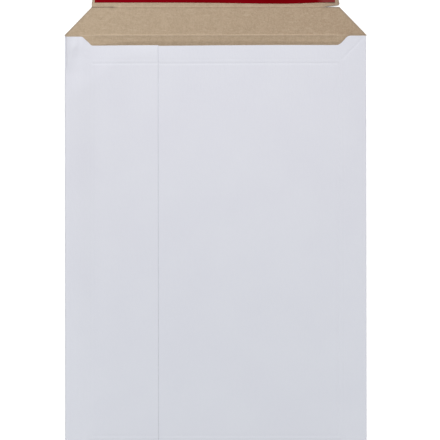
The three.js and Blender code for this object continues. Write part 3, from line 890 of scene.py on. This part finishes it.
def cut_edge():
    """The core of the board where the die has cut it, painted paler grey at the seam (painted
    light) and dark in the slit (painted shade).
    """
    look = Look("board_cut_edge", 0.9, 0.2)
    layer = look.spread(look.noise(0.0006, 3, 0.6, (0.3, 0.3, 3)), 0.3, 0.7)
    plain = look.mix(layer, linear(160, 147, 134), linear(192, 180, 168))
    # Painted light: the cut edge at the seam is painted a paler grey, which lightens the shade
    # along the seam's step
    grey = look.mix(layer, linear(180, 181, 188), linear(200, 201, 208))
    # Painted shade: the cut edges in the slit are painted dark, for the shade inside the nearly
    # closed cut
    dark = look.mix(layer, linear(96, 78, 60), linear(118, 98, 78))
    painted_seam_light = look.spread(look.away_from("X", LEFT_EDGE * MM), *SEAM_PAINTED_LIGHT_BAND, 1.0, 0.0)
    painted_slit_shade = look.spread(look.away_from("Y", (SEAL_LINE + SHIFT_Y) * MM), *SLIT_PAINTED_SHADE_BAND, 1.0, 0.0)
    look.set_surface("Base Color", look.mix(painted_slit_shade, look.mix(painted_seam_light, plain, grey), dark))
    look.bump(layer, 0.00003)
    return look.material


def liner_paper():
    """Dark red silicone paper: smooth, with a faint grain, painted darker towards the right
    (painted shade), and with a sheen on its lifted end.
    """
    look = Look("release_liner_red", 0.4, 0.01)
    cloud = look.spread(look.noise(0.03, 3), 0.35, 0.65)
    grain = look.spread(look.noise(0.0007, 3, 0.6), 0.3, 0.7)
    across = look.along("X")
    paler = look.mix(cloud, linear(130, 1, 13), linear(138, 2, 19))
    darker = look.mix(cloud, linear(112, 0, 5), linear(120, 1, 11))
    # Painted shade: the red is painted darker towards the right
    tone = look.mix(look.spread(across, *LINER_PAINTED_SHADE_X), paler, darker)
    look.set_surface("Base Color", look.part_mix(grain, 0.1, tone, linear(140, 14, 26)))
    look.set_surface("Specular IOR Level", look.spread(across, *LINER_SHEEN_X, 0.01, 0.4))
    look.set_surface("Roughness", look.spread(cloud, 0, 1, 0.35, 0.45))
    look.bump(grain, 0.000012)
    return look.material


def glue_film(name, thin, thick):
    """Dried adhesive, cloudy where it lies thicker."""
    look = Look(name, 0.35, 0.5)
    cloud = look.spread(look.noise(0.004, 3), 0.35, 0.65)
    look.set_surface("Base Color", look.mix(cloud, linear(*thin), linear(*thick)))
    look.set_surface("Roughness", look.spread(cloud, 0, 1, 0.28, 0.45))
    look.bump(cloud, 0.00003)
    return look.material


# Pieces

sheet = folded_sheet("card_sheet", flat_blank())
for look in (white_coat(), brown_board(), cut_edge()):
    sheet.data.materials.append(look)
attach(sheet, "root")
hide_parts("envelope_board")

GLUE_ROWS = 120
GLUE_COLUMNS = 6


def seam_glue_line():
    """The glue in the space between the two back panels, which follows them."""
    columns = np.linspace(glue_low.x / MM, glue_high.x / MM, GLUE_COLUMNS)
    rows = np.linspace(glue_low.y / MM - SHIFT_Y, glue_high.y / MM - SHIFT_Y, GLUE_ROWS)
    x, y = np.meshgrid(columns, rows)
    low = back_outside(x, y)
    return film("seam_glue_line", x, y, low, low + GLUE_SPACE)


glue = glue_film("glue_dried", (214, 208, 194), (224, 220, 208))
seam = seam_glue_line()
seam.data.materials.append(glue)
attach(seam, "root")
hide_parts("seam_glue")

LINER_ROWS = 14
LINER_COLUMNS = 90
LINER_LEFT = -100.3
LINER_RIGHT = 99.15
LINER_SAG = 1.1
LINER_SAG_LEAST = 0.15
LINER_SAG_AT = 58
LINER_SAG_LEFT = 55
LINER_SAG_RIGHT = 22
TAB_START = 85
TAB_LIFT = 0.6
TAB_CURVE = 1.5


def liner_strip():
    """The liner: its near edge sags in a slow curve, and its dry end lifts off."""
    columns = np.linspace(LINER_LEFT, LINER_RIGHT, LINER_COLUMNS)
    share, x = np.meshgrid(np.linspace(0, 1, LINER_ROWS), columns, indexing="ij")
    off = x - LINER_SAG_AT
    reach = np.where(off < 0, LINER_SAG_LEFT, LINER_SAG_RIGHT)
    sag = LINER_SAG_LEAST + LINER_SAG * np.exp(-(off / reach) ** 2)
    near = liner_low.y / MM - SHIFT_Y - sag
    far = liner_high.y / MM - SHIFT_Y
    lift = TAB_LIFT * np.clip((x - TAB_START) / (LINER_RIGHT - TAB_START), 0, 1) ** TAB_CURVE
    y = near + (far - near) * share
    return film("liner_strip", x, y, liner_low.z / MM + lift, liner_high.z / MM + lift)


liner = liner_strip()
liner.data.materials.append(liner_paper())
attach(liner, "root")
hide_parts("release_liner")

for name in ("bottom_glue_left", "bottom_glue_right"):
    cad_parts[name].data.materials.clear()
    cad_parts[name].data.materials.append(glue)
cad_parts["adhesive_strip"].data.materials.clear()
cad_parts["adhesive_strip"].data.materials.append(
    glue_film("adhesive_clear", (205, 196, 176), (214, 206, 188)))


# Floor, backdrop and light

FLOOR_SIZE = 6
FLOOR_BELOW = 0.0001
FLOOR_GLOW = 0.42
AMBIENT = 0.286


def seen_rays(tree):
    """1 for camera, glossy and transmission rays, and 0 for the others."""
    path = tree.nodes.new("ShaderNodeLightPath")
    seen = path.outputs["Is Camera Ray"]
    for ray in ("Is Glossy Ray", "Is Transmission Ray"):
        node = tree.nodes.new("ShaderNodeMath")
        node.operation = "MAXIMUM"
        tree.links.new(seen, node.inputs[0])
        tree.links.new(path.outputs[ray], node.inputs[1])
        seen = node.outputs[0]
    return seen


def add_floor():
    """A plain pale floor that keeps the shadow; its glow lifts it to white in the picture."""
    mesh = bpy.data.meshes.new("floor")
    r = FLOOR_SIZE / 2
    corners = [(-r, -r), (r, -r), (r, r), (-r, r)]
    mesh.from_pydata([(x, y, -FLOOR_BELOW) for x, y in corners], [], [(0, 1, 2, 3)])
    floor = bpy.data.objects.new("floor", mesh)
    bpy.context.scene.collection.objects.link(floor)
    material = bpy.data.materials.new("floor_pale")
    material.use_nodes = True
    tree = material.node_tree
    surface = tree.nodes["Principled BSDF"]
    surface.inputs["Base Color"].default_value = linear(232, 232, 232)
    surface.inputs["Roughness"].default_value = 1
    surface.inputs["Specular IOR Level"].default_value = 0
    surface.inputs["Emission Color"].default_value = (1, 1, 1, 1)
    glow = tree.nodes.new("ShaderNodeMath")
    glow.operation = "MULTIPLY"
    glow.inputs[1].default_value = FLOOR_GLOW
    tree.links.new(seen_rays(tree), glow.inputs[0])
    tree.links.new(glow.outputs[0], surface.inputs["Emission Strength"])
    mesh.materials.append(material)


def add_world():
    """A white backdrop that lights the piece softly."""
    world = bpy.data.worlds.new("studio")
    bpy.context.scene.world = world
    world.use_nodes = True
    tree = world.node_tree
    background = tree.nodes["Background"]
    background.inputs["Color"].default_value = (1, 1, 1, 1)
    node = tree.nodes.new("ShaderNodeMapRange")
    node.inputs["To Min"].default_value = AMBIENT
    node.inputs["To Max"].default_value = 1
    tree.links.new(seen_rays(tree), node.inputs["Value"])
    tree.links.new(node.outputs["Result"], background.inputs["Strength"])


def add_lamp(name, at, aim, size, spread, watts):
    data = bpy.data.lights.new(name, "AREA")
    data.shape = "RECTANGLE"
    data.size, data.size_y = size
    data.spread = math.radians(spread)
    data.energy = watts
    lamp = bpy.data.objects.new(name, data)
    lamp.location = at
    way = [a - p for a, p in zip(aim, at)]
    lamp.rotation_euler = Vector(way).to_track_quat("-Z", "Y").to_euler()
    bpy.context.scene.collection.objects.link(lamp)


add_floor()
add_world()
add_lamp("key", at=(0.15, 1.9, 1.7), aim=(-1.25, -0.9, 0), size=(1.8, 1.1), spread=120, watts=30)
add_lamp("fill", at=(-0.3, -1.3, 2.2), aim=(-0.3, -0.3, 0), size=(0.9, 0.6), spread=180, watts=11)
bpy.context.scene.view_settings.view_transform = "Standard"
